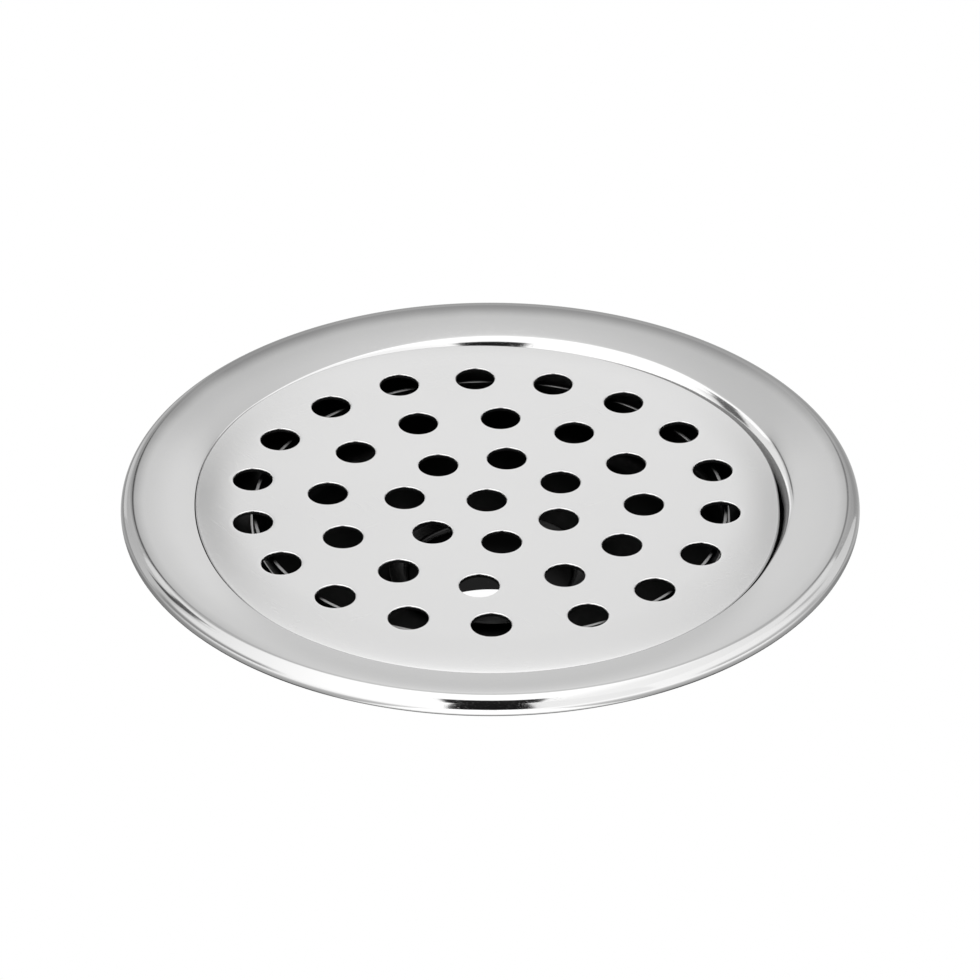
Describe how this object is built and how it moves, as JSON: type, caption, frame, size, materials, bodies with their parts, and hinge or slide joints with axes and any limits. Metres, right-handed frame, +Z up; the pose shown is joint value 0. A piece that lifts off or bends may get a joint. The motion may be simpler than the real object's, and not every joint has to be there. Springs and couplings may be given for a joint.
{
  "type": "floor drain grate",
  "caption": "Round floor drain: pressed flange with a rolled edge, perforated lift-out grate, drawn cup and a short outlet tube with a rubber seal.",
  "frame": {"origin": "on the drain's axis at the open end of its outlet tube, the lowest point; the finished floor plane, which is the underside of the flange's hemmed edge, is at z = 0.023", "axes": "+Z up out of the floor along the drain's axis; -Y towards the viewer; +X to the viewer's right"},
  "size_m": [0.1102, 0.1102, 0.0259],
  "materials": {
    "polished_steel": "polished",
    "satin_steel": "satin",
    "drawn_steel": "satin",
    "tube_steel": "satin",
    "seal_rubber": "matte"
  },
  "bodies": {
    "drain_body": {"flange_ring": "polished_steel", "drain_cup": "drawn_steel", "outlet_tube": "tube_steel", "outlet_seal": "seal_rubber"},
    "grate": {"grate_plate": "satin_steel"}
  },
  "joints": [
    {"name": "grate_lift", "type": "slide", "parent": "drain_body", "child": "grate", "axis": [0, 0, 1], "range_m": [0, 0.03]}
  ]
}
